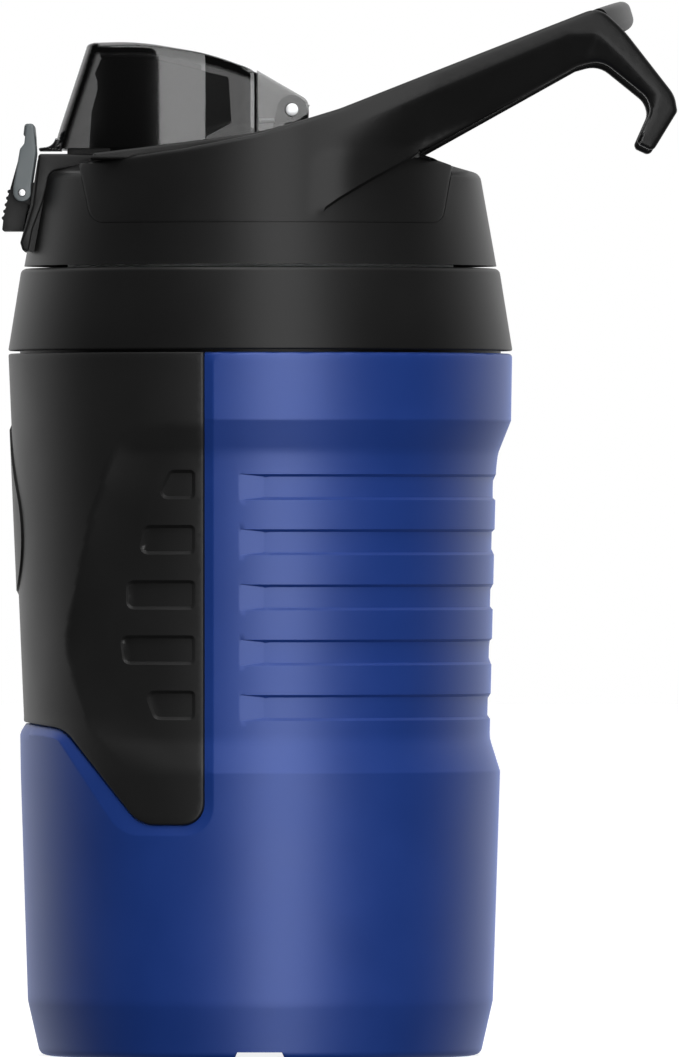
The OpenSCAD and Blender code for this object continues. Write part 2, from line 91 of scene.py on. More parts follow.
def resampled(line, step, closed=False):
    """The same line with points no further apart than step."""
    line = np.asarray(line, float)
    ends = np.roll(line, -1, axis=0) if closed else line[1:]
    out = []
    for a, b in zip(line, ends):
        pieces = max(1, math.ceil(np.linalg.norm(b - a) / step))
        out += [a + (b - a) * k / pieces for k in range(pieces)]
    if not closed:
        out.append(line[-1])
    keep = [out[0]] + [q for p, q in zip(out, out[1:]) if np.linalg.norm(q - p) > 1e-5]
    return np.array(keep)


def distance(points, line):
    """Distance of each point to the nearest place on an open line."""
    best = np.full(len(points), 1e9)
    for a, b in zip(line, line[1:]):
        d = b - a
        t = np.clip(((points - a) @ d) / max(d @ d, 1e-12), 0, 1)
        best = np.minimum(best, np.linalg.norm(points - a - t[:, None] * d, axis=1))
    return best


def inside(points, loops):
    """Whether each point is inside the closed loops, by the even-odd rule."""
    odd = np.zeros(len(points), bool)
    x, y = points[:, 0], points[:, 1]
    for loop in loops:
        for a, b in zip(loop, np.roll(loop, -1, axis=0)):
            if a[1] == b[1]:
                continue
            crosses = (a[1] > y) != (b[1] > y)
            odd ^= crosses & (x < a[0] + (b[0] - a[0]) * (y - a[1]) / (b[1] - a[1]))
    return odd


def shifted(line, amount):
    """An open line moved sideways, to the left of its direction."""
    line = np.asarray(line, float)
    tangent = np.gradient(line, axis=0)
    tangent /= np.linalg.norm(tangent, axis=1)[:, None]
    return line + amount * np.stack([-tangent[:, 1], tangent[:, 0]], axis=1)


def patch(loops, lines, step):
    """Points and triangles that fill the loops; loops and lines stay as edges."""
    points, edges = [], []
    for line, closed in [(loop, True) for loop in loops] + [(line, False) for line in lines]:
        start, count = len(points), len(line)
        points += [tuple(p) for p in line]
        edges += [(start + i, start + (i + 1) % count) for i in range(count if closed else count - 1)]
    low, high = np.min(loops[0], axis=0), np.max(loops[0], axis=0)
    rows = np.arange(low[1] + step / 2, high[1], step * 0.87)
    grid = np.array([
        (x, y) for j, y in enumerate(rows)
        for x in np.arange(low[0] + step * (0.5 + 0.5 * (j % 2)), high[0], step)])
    if len(grid):
        grid = grid[inside(grid, loops)]
    tree = kdtree.KDTree(len(points))
    for i, p in enumerate(points):
        tree.insert((*p, 0), i)
    tree.balance()
    points += [tuple(p) for p in grid if tree.find((*p, 0))[2] > step * 0.55]
    verts, _, faces, *_ = delaunay_2d_cdt([Vector(p) for p in points], edges, [], 0, 1e-6)
    verts = np.array([tuple(v) for v in verts])
    faces = np.array(faces)
    a, b, c = verts[faces].transpose(1, 0, 2)
    area = np.abs((b - a)[:, 0] * (c - a)[:, 1] - (b - a)[:, 1] * (c - a)[:, 0])
    longest = np.max([np.linalg.norm(side, axis=1) for side in (b - a, c - b, a - c)], axis=0)
    keep = inside(verts[faces].mean(axis=1), loops) & (area > SLIVER * longest)
    return verts, faces[keep]


# ---- meshes ---------------------------------------------------------------

class Build:
    """Vertices and faces of one piece, in millimetres."""

    def __init__(self):
        self.verts = []
        self.faces = []

    def add(self, points):
        """Adds vertices and returns their numbers."""
        start = len(self.verts)
        self.verts += [tuple(float(c) for c in p) for p in points]
        return list(range(start, len(self.verts)))

    def fill(self, points, faces):
        """Faces that count their corners from the first of these points."""
        row = self.add(points)
        self.faces += [tuple(row[i] for i in face) for face in faces]

    def strip(self, a, b, closed=False):
        """Quads between two rows of the same length."""
        count = len(a)
        for i in range(count if closed else count - 1):
            j = (i + 1) % count
            self.faces.append((a[i], a[j], b[j], b[i]))

    def rows(self, rows, closed=False):
        """Quads through several rows of points; returns the rows' vertex numbers."""
        numbers = [self.add(row) for row in rows]
        for a, b in zip(numbers, numbers[1:]):
            self.strip(a, b, closed)
        return numbers

    def zip_rows(self, a, b, key):
        """Triangles between two rows of different lengths, matched by key(vertex)."""
        i = j = 0
        ka, kb = [key(self.verts[v]) for v in a], [key(self.verts[v]) for v in b]
        while i < len(a) - 1 or j < len(b) - 1:
            if j == len(b) - 1 or (i < len(a) - 1 and ka[i + 1] <= kb[j + 1]):
                self.faces.append((a[i], a[i + 1], b[j]))
                i += 1
            else:
                self.faces.append((a[i], b[j + 1], b[j]))
                j += 1

    def revolve(self, outline, segments=192):
        """A ring with this closed (radius, height) outline."""
        turns = [2 * math.pi * k / segments for k in range(segments)]
        rows = [self.add([(r * math.cos(t), r * math.sin(t), z) for t in turns]) for r, z in outline]
        for a, b in zip(rows, rows[1:] + rows[:1]):
            self.strip(a, b, closed=True)

    def prism(self, outline, low, high, edge, step=3.0, turns=4):
        """A side-view outline (x, z) drawn from y = low to y = high, with rounded edges."""
        loop = np.asarray(outline, float)
        if sum(a[0] * b[1] - b[0] * a[1] for a, b in zip(loop, np.roll(loop, -1, axis=0))) < 0:
            loop = loop[::-1]
        wrap = np.vstack([loop[-1:], loop, loop[:1]])
        rows = []
        for y, out in ((low, 1), (high, -1)):
            part = []
            for k in range(turns + 1):
                a = math.pi / 2 * k / turns
                moved = shifted(wrap, edge * (1 - math.sin(a)))[1:-1]
                part.append([(x, y + out * edge * (1 - math.cos(a)), z) for x, z in moved])
            rows += part if out > 0 else part[::-1]
        numbers = self.rows(rows, closed=True)
        for numbers_end in (numbers[0], numbers[-1]):
            ring = np.array([self.verts[i] for i in numbers_end])
            flat, faces = patch([ring[:, [0, 2]]], [], step)
            self.fill([(x, ring[0, 1], z) for x, z in flat], faces)

    def mirror(self):
        """Adds the same again on the other side of the plane y = 0."""
        count = len(self.verts)
        self.verts += [(x, -y, z) for x, y, z in self.verts]
        self.faces += [tuple(reversed([count + i for i in face])) for face in self.faces]

    def piece(self, name, material, body, slot, replaces=(), sharp=32):
        """Makes the object, with edges steeper than sharp degrees drawn as edges."""
        mesh = bpy.data.meshes.new(name)
        bm = bmesh.new()
        verts = [bm.verts.new([c * MM for c in v]) for v in self.verts]
        for face in self.faces:
            corners = [verts[i] for i in face]
            if len(set(corners)) > 2:
                try:
                    bm.faces.new(corners)
                except ValueError:  # this face is there already
                    pass
        bmesh.ops.remove_doubles(bm, verts=bm.verts, dist=2e-6)
        bmesh.ops.dissolve_degenerate(bm, edges=bm.edges, dist=1e-6)
        bmesh.ops.recalc_face_normals(bm, faces=bm.faces)
        bm.to_mesh(mesh)
        bm.free()
        mesh.polygons.foreach_set("use_smooth", [True] * len(mesh.polygons))
        mesh.set_sharp_from_angle(angle=math.radians(sharp))
        mesh.materials.append(material)
        obj = bpy.data.objects.new(name, mesh)
        bpy.context.scene.collection.objects.link(obj)
        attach(obj, body)
        if replaces:
            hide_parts(*replaces)


# ---- materials ------------------------------------------------------------

def new_material(name, colour, roughness, **sockets):
    """A Principled material; sockets are named with _ for each space."""
    mat = bpy.data.materials.new(name)
    mat.use_nodes = True
    shader = mat.node_tree.nodes["Principled BSDF"]
    shader.inputs["Base Color"].default_value = (*colour, 1)
    shader.inputs["Roughness"].default_value = roughness
    for socket, value in sockets.items():
        shader.inputs[socket.replace("_", " ")].default_value = value
    return mat


def node(mat, kind, **values):
    """A new node of a material or a world; values are its own settings or its sockets."""
    made = mat.node_tree.nodes.new(kind)
    for name, value in values.items():
        if hasattr(made, name):
            setattr(made, name, value)
        else:
            made.inputs[name.replace("_", " ")].default_value = value
    return made


def link(mat, source, target):
    mat.node_tree.links.new(source, target)


def map_range(mat, limits):
    """A map range node for (from low, from high, to low, to high)."""
    made = node(mat, "ShaderNodeMapRange")
    for socket, value in zip(("From Min", "From Max", "To Min", "To Max"), limits):
        made.inputs[socket].default_value = value
    return made


def grained(mat, scale, depth, colours, roughness, spread=1.0):
    """Fine moulded grain, with slight changes of colour and gloss over broader patches."""
    shader = mat.node_tree.nodes["Principled BSDF"]
    place = node(mat, "ShaderNodeTexCoord")
    fine = node(mat, "ShaderNodeTexNoise", Scale=scale, Detail=3.0)
    broad = node(mat, "ShaderNodeTexNoise", Scale=40.0 * spread, Detail=4.0)
    bump = node(mat, "ShaderNodeBump", Distance=depth, Strength=0.5)
    tint = node(mat, "ShaderNodeValToRGB")
    gloss = map_range(mat, (0.3, 0.7, *roughness))
    for texture in (fine, broad):
        link(mat, place.outputs["Object"], texture.inputs["Vector"])
    link(mat, fine.outputs["Fac"], bump.inputs["Height"])
    link(mat, bump.outputs["Normal"], shader.inputs["Normal"])
    for element, colour, at in zip(tint.color_ramp.elements, colours, (0.35, 0.65)):
        element.position = at
        element.color = (*colour, 1)
    link(mat, broad.outputs["Fac"], tint.inputs["Fac"])
    link(mat, tint.outputs["Color"], shader.inputs["Base Color"])
    link(mat, broad.outputs["Fac"], gloss.inputs["Value"])
    link(mat, gloss.outputs["Result"], shader.inputs["Roughness"])
    return mat


def blue_plastic():
    mat = new_material("shell_blue", (0.007, 0.031, 0.18), 0.43, Specular_IOR_Level=0.95,
                       Specular_Tint=(0.48, 0.57, 1, 1), Sheen_Weight=0.35, Sheen_Roughness=0.35,
                       Sheen_Tint=(0.2, 0.35, 1, 1))
    return grained(mat, 2600, 0.00002, ((0.0062, 0.0295, 0.172), (0.0078, 0.0335, 0.19)), (0.42, 0.45))


def smoke_plastic():
    """Smoked plastic: thin where it is looked through, dark along its walls."""
    mat = new_material("smoke_clear", (0.01, 0.01, 0.01), 0.04, Alpha=0.24, Specular_IOR_Level=1.0,
                       Coat_Weight=1.0, Coat_IOR=1.9, Coat_Roughness=0.08)
    murk = node(mat, "ShaderNodeVolumeAbsorption", Density=260.0)
    murk.inputs["Color"].default_value = (0, 0, 0, 1)
    link(mat, murk.outputs[0], mat.node_tree.nodes["Material Output"].inputs["Volume"])
    return mat


def steel():
    mat = new_material("pin_steel", (0.72, 0.73, 0.74), 0.18)
    mat.node_tree.nodes["Principled BSDF"].inputs["Metallic"].default_value = 1.0
    return grained(mat, 5000, 0.000001, ((0.74, 0.75, 0.76), (0.84, 0.85, 0.86)), (0.42, 0.5))


def plain_plastic(name, dark, light, roughness):
    mat = new_material(name, dark, roughness)
    return grained(mat, 2500, 0.00002, (dark, light), (roughness - 0.03, roughness + 0.05))


def black_plastic(name="black_plastic", low=0.39, high=0.42, base=0.0072, shine=0.2):
    mat = new_material(name, (base,) * 3, low, Specular_IOR_Level=shine)
    return grained(mat, 3000, 0.00003, ((0.93 * base,) * 3, (1.1 * base,) * 3), (low, high))


# ---- body -----------------------------------------------------------------

FOOT_TOP, RIM, RIM_FILLET = 2.4, 196.3, 1.0
NOTCH = ((6.2, 2.2), (7.4, 0.0))  # half its width and its height, at its roof and at the ground
NOTCH_ROOF, NOTCH_HALF = NOTCH[0][0], NOTCH[1][0]
FOOT_R, FOOT_INNER_R = 62, 55.6
SPIGOT_R, SPIGOT_Z = 67.3, 187
FOOT_BEND = 15.4
# Radius by height: the shell's skin, its waist, the panel, and the recess that the panel sits in.
SKIN = profile([(59.44, 0), (60.6, 0.22), (61.55, 0.85), (61.99, 1.71), (65.1, FOOT_BEND, 4), (67.1, 79),
                (67.3, 93), (70.2, 177.6), (70.5, RIM)])
WAIST = profile([(67.1, 79.6), (64.2, 88.8, 6), (66, 163.8, 20), (66.5, 168.3, 3), (70.2, 177.6)])
PANEL = profile([(66.5, 60), (67.0, 79), (66.2, 94.5, 6), (70.55, RIM)])
SEAT = profile([(64.2, 55), (65.0, 79.6), (62.1, 88.8, 6), (63.9, 163.8, 20), (64.4, 168.3, 3),
                (68.1, 177.6), (68.4, RIM)])
WAIST_LOW, WAIST_HIGH = 79.6, 177.6
WAIST_FRONT = rounded([(0, 70), (-29, 74), (-36, 80.5, 8), (-47, 91, 12), (-54.5, 115, 22), (-46, 154, 30),
                       (-39.5, 172, 14), (-30, 182), (0, 186)], 6)[1:-1]
WAIST_RAMP = 12.0  # the waist fades in over this width behind its front edge
GROOVES = [94.1 + 15.3 * i for i in range(5)]
GROOVE_W, GROOVE_DEEP, GROOVE_WALL = 7.2, 0.8, 0.75
GROOVE_FROM, GROOVE_RAMP = math.radians(85), math.radians(6)
UNROLL = 67.0  # arc lengths round the body are laid out at this radius
CREASE = 0.35  # half the width of a softened crease


def panel_edge(gap, top):
    """Side view of the panel's edge, from the rim at the side down and round to the front."""
    return rounded([(-100, top), (-15.5 + gap, top), (-15.5 + gap, 65.2 - gap, 6.2), (-33.5, 65.2 - gap, 9),
                    (-54.5 - gap, 91.5 - gap, 8), (-66, 93.2 - gap), (-100, 93.2 - gap)], 8)[1:]


BEVEL = rounded([(-100, 230), (-12.8, 230), (-12.8, 62.2, 8), (-38.5, 62.2, 10), (-56.5, 89, 4),
                 (-66, 90.2), (-100, 90.2)], 8)[1:]
PANEL_LINE = panel_edge(0, 230)
BEVEL_DROP = 0.9


def pocket_outline(groove, front, slant):
    """One of the panel's pockets beside a groove; slant is how far its front edge leans."""
    back, low, high = POCKET_BACK, groove + 0.2, groove + 0.2 + POCKET_HEIGHT
    return rounded([(back, low, 1.4), (front + max(slant, 0), low, 2.2), (front - min(slant, 0), high, 2.2),
                    (back, high, 1.4)], 4)


POCKET_BACK, POCKET_HEIGHT, POCKET_WALL, POCKET_DEEP = -17.8, 8.2, 0.9, 1.1
POCKETS = [pocket_outline(*shape) for shape in zip(
    GROOVES, (-32.3, -39, -37.1, -33.7, -29), (3, 1.1, 0, -1.5, -4))]
BADGE_Z, BADGE_R, BADGE_TIP = 147.0, 17.5, 29.0
BADGE_UP, BADGE_WALL = 0.6, 0.5


def badge_outline(inset=0.0):
    """Half of a plain drop, a circle drawn up to a point, with its flat side at 0."""
    r, tip = BADGE_R - inset, BADGE_TIP - inset * BADGE_TIP / BADGE_R
    lean = math.acos(r / tip)
    arc = [(r * math.cos(a), r * math.sin(a)) for a in np.linspace(math.pi / 2 - lean, -math.pi / 2, 26)]
    return np.array([(0, tip)] + arc) + (0, BADGE_Z)


def waist_cut(x, z, plain):
    """How far the waist lies below the plain surface."""
    deep = np.where((z > WAIST_LOW) & (z < WAIST_HIGH), np.maximum(plain - WAIST(z), 0), 0)
    side = np.stack([x, z], axis=1)
    t = np.clip(distance(side, WAIST_FRONT) / WAIST_RAMP, 0, 1)
    area = np.vstack([WAIST_FRONT, [(200, 182), (200, 74)]])
    return np.where(inside(side, [area]), deep * (1 - (1 - t) ** 1.8), 0)


def on_body(radius, points):
    """Points (arc from the front, height) on a surface radius(x, arc, z), on the side y < 0."""
    arc, z = points[:, 0], points[:, 1]
    angle = arc / UNROLL
    r = np.full(len(points), UNROLL)
    for _ in range(4):
        r = radius(-r * np.cos(angle), arc, z)
    return np.stack([-r * np.cos(angle), -r * np.sin(angle), z], axis=1)


def panel_radius(x, arc, z):
    plain = PANEL(z)
    r = plain - waist_cut(x, z, plain)
    side = np.stack([x, z], axis=1)
    for outline in POCKETS:
        loop = np.vstack([outline, outline[:1]])
        wall = np.clip(distance(side, loop) / POCKET_WALL, 0, 1)
        r = np.where(inside(side, [outline]), r - POCKET_DEEP * wall, r)
    front = np.stack([np.abs(arc), z], axis=1)
    half = badge_outline()
    drop = np.vstack([half, half[::-1] * (-1, 1)])
    wall = np.clip(distance(front, half) / BADGE_WALL, 0, 1)
    return np.where(inside(front, [drop]), r + BADGE_UP * wall, r)


def shell_radius(x, arc, z):
    plain = SKIN(z)
    r = plain - waist_cut(x, z, plain)
    angle = arc / UNROLL
    for low in GROOVES:
        wall = np.minimum(z - low, low + GROOVE_W - z) / GROOVE_WALL
        r -= GROOVE_DEEP * np.clip(np.minimum(wall, (angle - GROOVE_FROM) / GROOVE_RAMP), 0, 1)
    side = np.stack([x, z], axis=1)
    inner, outer = distance(side, PANEL_LINE), distance(side, BEVEL)
    panel = PANEL(z) - waist_cut(x, z, PANEL(z)) - BEVEL_DROP
    in_bevel = inside(side, [np.vstack([BEVEL, [(-100, 230)]])])
    return np.where(in_bevel, r + np.minimum(panel - r, 0) * outer / (outer + inner + 1e-9), r)


def seat_radius(x, arc, z):
    """The floor of the shell's recess under the panel."""
    return SEAT(z)


def panel_back_radius(x, arc, z):
    return SEAT(z) + 0.08


def wrapped(line, radius, step):
    """A side-view line (x, z) laid on the surface radius(x, arc, z), as (arc, height) points."""
    line = resampled(line, step)
    x, z = line[:, 0], line[:, 1]
    arc = np.full(len(line), UNROLL * math.pi / 2)
    for _ in range(6):
        r = radius(x, arc, z)
        arc = UNROLL * np.arccos(np.clip(-x / r, -1, 1))
    out = np.stack([arc, z], axis=1)
    keep = [0] + [i for i in range(1, len(out)) if np.linalg.norm(out[i] - out[i - 1]) > 0.05]
    if arc[-1] > 0:
        return out[keep]
    keep = [i for i in keep if arc[i] > 0.3 or i == keep[0]]
    return np.vstack([out[keep], [(0, z[-1])]])


def clipped(line, low, high):
    """The part of a line of (arc, height) points between two heights."""
    return line[(line[:, 1] > low) & (line[:, 1] < high)]


def angle_of(vert):
    return math.atan2(-vert[1], -vert[0])


def foot_height(x):
    """Height of the see-through notch across the foot."""
    (top, high), (low, _) = NOTCH
    return high * max(0.0, min(1.0, (low - abs(x)) / (low - top)))


def outer_shell():
    step = 1.6
    build = Build()
    top = RIM - RIM_FILLET
    full = UNROLL * math.pi
    seam = wrapped(panel_edge(0.3, top), shell_radius, step)
    corner = seam[0]
    notch_arcs = [UNROLL * math.acos(-x / SKIN(FOOT_TOP))
                  for x in (-NOTCH_HALF, -NOTCH_ROOF, NOTCH_ROOF, NOTCH_HALF)]
    foot = [a for a in np.arange(0, full, step) if min(abs(a - b) for b in notch_arcs) > 0.6]
    foot = np.array([(a, FOOT_TOP) for a in sorted(foot + notch_arcs + [full])])
    back = np.array([(full, z) for z in np.arange(FOOT_TOP + step, top, step)])
    rim = np.array([(a, top) for a in np.arange(full, corner[0] + step / 2, -step)])
    front = np.array([(0, z) for z in np.arange(seam[-1][1] - step, FOOT_TOP + step / 2, -step)])
    skin_loop = np.vstack([foot, back, rim, seam, front])
    lines = [np.array([(a, FOOT_BEND) for a in np.arange(0.4, full, step)])]
    waist_from = UNROLL * math.acos(15.1 / 66) + 0.6
    for z in (WAIST_LOW, WAIST_HIGH):
        for aside in (-CREASE, 0, CREASE):
            lines.append(np.array([(a, z + aside) for a in np.arange(waist_from, full - 0.1, step)]))
    ramp = UNROLL * (GROOVE_FROM + GROOVE_RAMP)
    begin = UNROLL * GROOVE_FROM
    for low in GROOVES:
        high = low + GROOVE_W
        for edge, foot_of in ((low, low + GROOVE_WALL), (high, high - GROOVE_WALL)):
            lines.append(np.array([(a, edge) for a in [begin, *np.arange(begin + 0.8, full - 0.2, step)]]))
            near = edge + (foot_of - edge) * 0.8 / (ramp - begin)
            lines.append(resampled([(begin + 0.8, near), (ramp, foot_of)], 0.8))
            lines.append(np.array([(a, foot_of) for a in np.arange(ramp + step, full - 0.2, step)]))
        for a in (begin - CREASE, begin, begin + CREASE):
            lines.append(resampled([(a, low + 0.1), (a, high - 0.1)], step))
        for a in (ramp - CREASE, ramp, ramp + CREASE):
            lines.append(resampled([(a, low + 1.3 * GROOVE_WALL), (a, high - 1.3 * GROOVE_WALL)], step))
    bevel = wrapped(BEVEL[BEVEL[:, 1] < 240], shell_radius, step)
    bevel = clipped(bevel, 0, top - 0.3)
    for aside in (-CREASE, 0, CREASE):
        lines.append(clipped(shifted(bevel, aside)[:-2], 0, top - 0.6))
    flat, faces = patch([skin_loop], lines, step)
    build.fill(on_body(shell_radius, flat), faces)

    # Seat of the panel, with the same edge.
    inner_front = np.array([(0, z) for z in np.arange(seam[-1][1] + 6, top - 3, 6)])
    inner_top = np.array([(a, top) for a in np.arange(0, corner[0] - 1, 3.0)])
    seat_loop = np.vstack([seam, inner_front, inner_top])
    flat, faces = patch([seat_loop], [], 6)
    build.fill(on_body(seat_radius, flat), faces)
    build.rows([on_body(shell_radius, seam), on_body(seat_radius, seam)])

    # Rim: seat columns, then skin columns, up and in to the collar's spigot.
    columns = [(p, 0.05) for p in on_body(seat_radius, np.vstack([inner_top, corner]))]
    columns += [(p, RIM_FILLET) for p in on_body(shell_radius, np.vstack([corner, rim[::-1]]))]
    rows = []
    for turn in (0, 30, 60, 90):
        a = math.radians(turn)
        row = []
        for (x, y, z), fillet in columns:
            r = math.hypot(x, y)
            new = r - fillet * (1 - math.cos(a))
            row.append((x * new / r, y * new / r, z + RIM_FILLET * math.sin(a)))
        rows.append(row)
    for z in (RIM, SPIGOT_Z):
        rows.append([(x * SPIGOT_R / math.hypot(x, y), y * SPIGOT_R / math.hypot(x, y), z)
                     for x, y, _ in rows[0]])
    rim_rows = build.rows(rows)

    # Foot: outer fillet, flat ring with its notch, recess and the hole for the plug.
    angles = foot[:, 0] / UNROLL
    base = on_body(shell_radius, foot)
    heights = [foot_height(x) for x in base[:, 0]]
    rows = [base]
    for share in (0.75, 0.5, 0.3, 0.15, 0.05, 0):
        zs = [h + share * (FOOT_TOP - h) for h in heights]
        rows.append([(-SKIN(z) * math.cos(a), -SKIN(z) * math.sin(a), z) for a, z in zip(angles, zs)])
    turn_at = math.pi / 2 - math.acos(NOTCH_HALF / FOOT_R)
    turned_at = math.pi / 2 - math.acos(NOTCH_HALF / FOOT_INNER_R)

    def squared(a):
        """Angle on the inner ring, so that the notch's sides run straight through."""
        off = a - math.pi / 2
        size = abs(off)
        if size <= turn_at:
            size = math.asin(min(1, FOOT_R * math.sin(size) / FOOT_INNER_R))
        else:
            size = turned_at + (size - turn_at) * (math.pi / 2 - turned_at) / (math.pi / 2 - turn_at)
        return math.pi / 2 + math.copysign(size, off)

    inner = [squared(a) for a in angles]
    rows.append([(-FOOT_INNER_R * math.cos(a), -FOOT_INNER_R * math.sin(a), h)
                 for a, h in zip(inner, heights)])
    underside = ((54.2, 2.8), (53.6, 3.0), (8.4, 3.0), (8, 3.4), (8, 6))
    inner_wall = ((54.6, 6), (57.2, 7.2), (57.6, 9), (61.1, 16.4), (63.1, 78), (60.2, 88), (62, 163.8),
                  (62.6, 169), (66.2, 178.8), (66.3, SPIGOT_Z))
    for r, z in underside + inner_wall:
        rows.append([(-r * math.cos(a), -r * math.sin(a), z) for a in inner])
    foot_rows = build.rows(rows)
    build.zip_rows(foot_rows[-1], rim_rows[-1], angle_of)
    build.mirror()
    build.piece("outer_shell_skin", MATERIALS["blue"], "jug", "shell_blue", ["outer_shell"], 30)


def grip_panel():
    step = 1.4
    build = Build()
    rounding = 0.6
    edge = wrapped(panel_edge(0, RIM), panel_radius, step)
    top = np.array([(a, RIM) for a in np.arange(0, edge[0][0] - step / 2, step)])
    line = np.vstack([top, edge])

    def inset(amount):
        """The panel's outline, moved inwards."""
        moved = shifted(line, -amount)
        corner = len(top)
        moved[:corner, 1] = RIM - amount
        moved[corner] = (edge[0][0] - amount, RIM - amount)
        moved[0] = (0, RIM - amount)
        moved[-1] = (0, line[-1][1] + amount)
        return moved

    front = inset(rounding)
    centre = np.array([(0, z) for z in np.arange(front[-1][1] + step, front[0][1] - step / 2, step)])
    lines = [clipped(wrapped(WAIST_FRONT, panel_radius, step), 67, 195)]
    for outline in POCKETS:
        loop = np.vstack([outline, outline[:1]])
        lines.append(wrapped(loop, panel_radius, 0.9))
        shrunk = shifted(resampled(loop, 0.9), POCKET_WALL)
        if distance(shrunk[:1], loop)[0] < 0.1 or not inside(shrunk[:1], [outline])[0]:
            shrunk = shifted(resampled(loop, 0.9), -POCKET_WALL)
        shrunk[-1] = shrunk[0]
        lines.append(wrapped(shrunk, panel_radius, 0.9))
    for inset_by in (0, BADGE_WALL):
        lines.append(resampled(badge_outline(inset_by), step)[1:-1])
    for z in (WAIST_LOW, WAIST_HIGH):
        begin = UNROLL * math.acos((36.5 if z < 100 else 35.5) / 68)
        stop = UNROLL * math.acos(17 / 68)
        lines.append(np.array([(a, z) for a in np.arange(begin, stop, step)]))
    flat, faces = patch([np.vstack([front, centre])], lines, step)
    build.fill(on_body(panel_radius, flat), faces)
    rows = [on_body(panel_radius, front)]
    for k in (1, 2, 3):
        a = math.radians(30 * k)
        row = on_body(panel_radius, inset(rounding * (1 - math.sin(a))))
        radial = np.hypot(row[:, 0], row[:, 1])
        row[:, :2] *= ((radial - rounding * (1 - math.cos(a))) / radial)[:, None]
        rows.append(row)
    rows.append(on_body(panel_back_radius, line))
    build.rows(rows)
    centre = np.array([(0, z) for z in np.arange(line[-1][1] + 6, RIM - 3, 6)])
    flat, faces = patch([np.vstack([line, centre])], [], 6)
    build.fill(on_body(panel_back_radius, flat), faces)
    build.mirror()
    build.piece("grip_panel_skin", MATERIALS["grip"], "jug", "grip_black", ["grip_panel"], 30)


# ---- lid ------------------------------------------------------------------

def collar_ring():
    build = Build()
    build.revolve(rounded([(64.7, SPIGOT_Z), (SPIGOT_R, SPIGOT_Z), (SPIGOT_R, 197.1), (70.6, 197.1, 0.5),
                           (66.9, 220.1, 1.7), (54, 220.1), (54, 217), (61, 217), (63.8, 214)], 6))
    build.piece("collar_ring_skin", MATERIALS["black"], "jug", "black_plastic", ["collar_ring"])


LID_Z, LID_R = 220.8, 66.1
LID_TAPER = (LID_R - 61.5) / (246.6 - LID_Z)
ARM_TURN = math.radians(12)  # how far each arm leans in towards the bar
ARM_R, ARM_X, ARM_T = 60.74, 12.7, 9.0
HANDLE_TOP = rounded([(-50.5, 248.9), (-21.4, 252.8, 30), (-0.1, 257, 30), (22.3, 264, 20),
                      (94.2, 292.5, 6), (101, 286.4, 40), (115.4, 268, 8), (116.2, 263.5, 1.5),
                      (109.4, 252.4)], 6)
HANDLE = np.vstack([HANDLE_TOP[:-1], rounded([
    (116.2, 263.5), (109.4, 252.4, 1.6), (104.7, 254.6, 1.4), (108.8, 263.8, 4), (107.8, 267.4, 6),
    (95, 277.8, 7), (88.5, 276), (45.1, 251.9), (44.9, 251.5), (53.6, 248.5, 0.8), (50.8, 232.3, 3.5),
    (-47, 232.3, 4.5), (-50.5, 248.9)], 6)[1:-1]])
# The line where the arm leaves the lid's wall.
ARM_LOW = np.array([(4, 227), (18.6, 236), (22.3, 238.6), (30, 243.3), (40.5, 249.2), (45.1, 251.9),
                    (60, 260.2)])
# Below this line the arm's outer face slopes inwards.
UNDER = rounded([(-10, 246), (22.3, 257.9), (86.3, 285, 5), (94, 285.2, 4), (101, 278.6, 30),
                 (110.8, 268.2, 2.5), (108.6, 262), (104, 250), (104, 200), (-10, 200)], 6)
UNDER_LINE = UNDER[(UNDER[:, 0] > 20) & (UNDER[:, 1] > 255)]
UNDER_SLOPE, UNDER_MOST = 0.62, 7.2
PLATE_X, PLATE_TOP = 56, 250  # the side plate against the lid ends behind and above here
PLATE_T, PLATE_EDGE, ARM_EDGE = 1.4, 0.35, 1.3
SOFTEN = 2.5


def smooth_step(x, low, high):
    """0 below low, 1 above high, and a smooth rise between them."""
    t = np.clip((x - low) / (high - low), 0, 1)
    return t * t * (3 - 2 * t)


